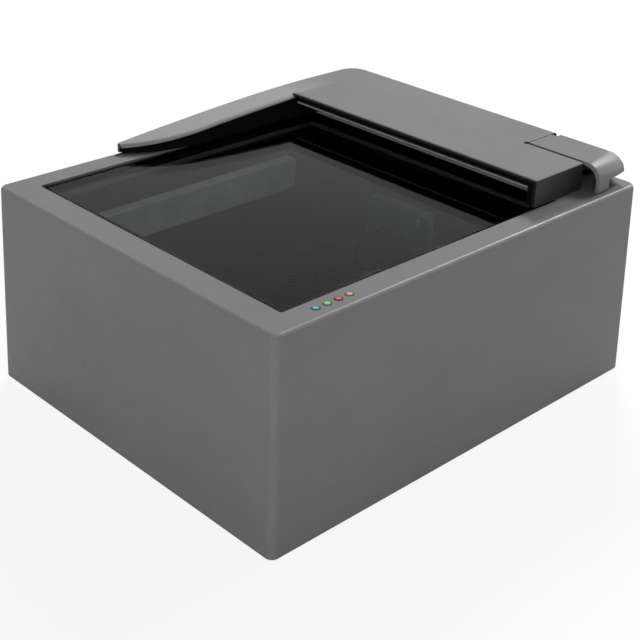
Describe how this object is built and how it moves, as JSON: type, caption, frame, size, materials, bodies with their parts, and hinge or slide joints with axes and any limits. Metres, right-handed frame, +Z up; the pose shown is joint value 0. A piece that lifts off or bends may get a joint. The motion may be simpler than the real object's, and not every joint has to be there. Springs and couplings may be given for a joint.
{
  "type": "passport reader",
  "caption": "Desktop passport reader: a drafted grey housing with a sunken glass window, an L-shaped light hood, a hinged corner flap and coloured status lights.",
  "frame": {"origin": "middle of the footprint, on the table under the feet", "axes": "+X to the user's right, +Y away from the user, towards the sockets, +Z up; the status lights are on the -Y side"},
  "size_m": [0.2328, 0.1908, 0.111],
  "materials": {
    "grey_moulding": "fine matt texture, mid grey",
    "black_moulding": "fine matt texture, black",
    "board": "green solder mask",
    "window_glass": "polished, dark over the black chamber",
    "mirror": "polished front surface",
    "lens_coating": "polished, coated",
    "frosted_plastic": "frosted white",
    "aluminium": "plain",
    "tinned_steel": "tinned sheet",
    "chip_black": "moulded epoxy",
    "lead_sleeve": "black sleeve",
    "cable_film": "white film",
    "rubber": "matt black",
    "zinc_steel": "zinc plated",
    "light_blue": "clear tinted",
    "light_green": "clear tinted",
    "light_red": "clear tinted",
    "light_amber": "clear tinted"
  },
  "bodies": {
    "housing": {"antenna_lead": "lead_sleeve", "base_plate": "black_moulding", "base_screw_back_left": "zinc_steel", "base_screw_back_right": "zinc_steel", "base_screw_front_left": "zinc_steel", "base_screw_front_right": "zinc_steel", "beeper": "chip_black", "board_screw_back_left": "zinc_steel", "board_screw_back_right": "zinc_steel", "board_screw_front_left": "zinc_steel", "board_screw_front_right": "zinc_steel", "body_shell": "grey_moulding", "camera_board": "board", "camera_bracket": "aluminium", "camera_screw_lower": "zinc_steel", "camera_screw_upper": "zinc_steel", "card_socket": "black_moulding", "card_socket_cover": "tinned_steel", "diffuser_back": "frosted_plastic", "diffuser_front": "frosted_plastic", "document_glass": "window_glass", "flap_pin": "zinc_steel", "flat_cable": "cable_film", "fold_mirror": "mirror", "foot_back_left": "rubber", "foot_back_right": "rubber", "foot_front_left": "rubber", "foot_front_right": "rubber", "heatsink": "aluminium", "hood_liner": "black_moulding", "hood_screw_corner": "zinc_steel", "hood_screw_front": "zinc_steel", "hood_screw_middle": "zinc_steel", "hood_screw_tip": "zinc_steel", "hood_shell": "grey_moulding", "led_board": "board", "lens_barrel": "black_moulding", "lens_glass": "lens_coating", "light_bar_back": "board", "light_bar_front": "board", "main_board": "board", "mirror_bracket": "black_moulding", "optics_tub": "black_moulding", "page_guide": "grey_moulding", "power_jack": "black_moulding", "radio_screw_back": "zinc_steel", "radio_screw_front": "zinc_steel", "rfid_antenna": "board", "rfid_board": "board", "status_lens_amber": "light_amber", "status_lens_blue": "light_blue", "status_lens_green": "light_green", "status_lens_red": "light_red", "tub_screw_back_left": "zinc_steel", "tub_screw_back_right": "zinc_steel", "tub_screw_front_left": "zinc_steel", "tub_screw_front_right": "zinc_steel", "usb_socket": "tinned_steel", "window_seal": "black_moulding"},
    "flap": {"card_flap": "grey_moulding"}
  },
  "joints": [
    {"name": "flap_hinge", "type": "hinge", "parent": "housing", "child": "flap", "pos_m": [0.1, -0.0495, 0.1084], "axis": [-1, 0, 0], "range_deg": [0, 80]}
  ]
}
